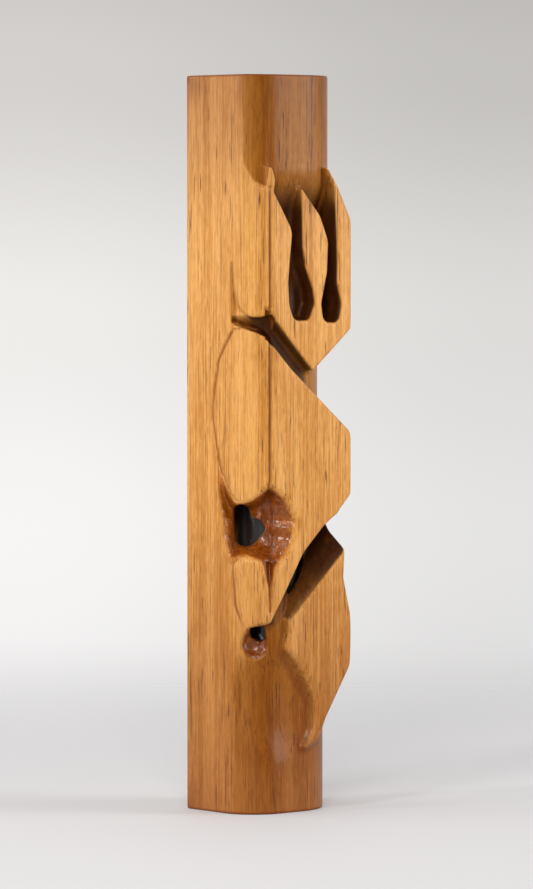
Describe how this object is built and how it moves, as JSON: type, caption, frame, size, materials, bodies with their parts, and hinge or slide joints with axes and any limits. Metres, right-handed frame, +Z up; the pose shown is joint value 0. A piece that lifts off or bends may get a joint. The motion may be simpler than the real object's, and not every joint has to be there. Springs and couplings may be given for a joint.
{
  "type": "mezuzah case",
  "caption": "Tall carved wooden case for a rolled parchment, with slotted and hollowed relief on the front, a flush back cover and keyhole hangers.",
  "frame": {"origin": "middle of the base, under the centre of the bounding box", "axes": "+Z up along the case, +Y towards the wall behind it (the carved front faces -Y), +X to the right seen from the front"},
  "size_m": [0.026, 0.0216, 0.15],
  "materials": {
    "carved_wood": "glossy varnish over oiled tan hardwood",
    "cover_wood": "satin varnish",
    "brass_screw": "polished",
    "brass_plate": "brushed",
    "tube_plastic": "glossy near-black",
    "cap_plastic": "satin near-black",
    "parchment": "matte scraped skin",
    "band_cloth": "plain woven tape"
  },
  "bodies": {
    "case": {"case_body": "carved_wood", "hanger_plate_top": "brass_plate", "hanger_plate_bottom": "brass_plate", "hanger_screws": "brass_screw"},
    "cover": {"back_cover": "cover_wood", "cover_screws": "brass_screw"},
    "tube": {"scroll_tube": "tube_plastic", "tube_cap_top": "cap_plastic", "tube_cap_bottom": "cap_plastic", "parchment_scroll": "parchment", "scroll_band": "band_cloth"}
  },
  "joints": [
    {"name": "cover_lift", "type": "slide", "parent": "case", "child": "cover", "axis": [0, 1, 0], "range_m": [0, 0.045]},
    {"name": "tube_lift", "type": "slide", "parent": "case", "child": "tube", "axis": [0, 1, 0], "range_m": [0, 0.024]}
  ],
  "couplings": [
    {"joint": "tube_lift", "follows": "cover_lift", "ratio": 0.5333}
  ]
}
